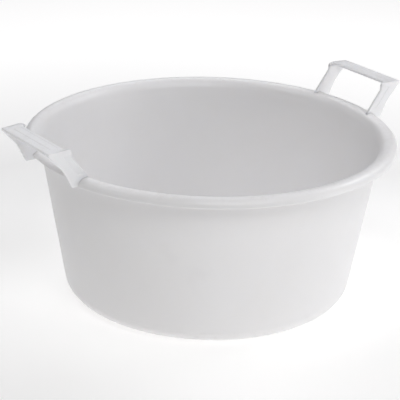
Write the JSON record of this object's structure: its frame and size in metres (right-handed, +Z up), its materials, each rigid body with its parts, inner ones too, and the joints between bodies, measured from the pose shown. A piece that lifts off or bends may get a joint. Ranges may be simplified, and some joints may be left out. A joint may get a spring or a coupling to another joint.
{
  "type": "mortar mixing tub",
  "caption": "Round tapered plastic mixing tub with a rolled rim and two strap handles that lean outward.",
  "frame": {"origin": "centre of the ground ring under the tub", "axes": "+Z up along the tub's axis; +X towards the rear handle, -X towards the front handle"},
  "size_m": [0.626, 0.5498, 0.29],
  "materials": {
    "tub_plastic": "satin, milky white polyethylene",
    "handle_plastic": "satin, milky white polyethylene"
  },
  "bodies": {
    "root": {"tub_shell": "tub_plastic", "rear_handle": "handle_plastic", "front_handle": "handle_plastic"}
  },
  "joints": []
}
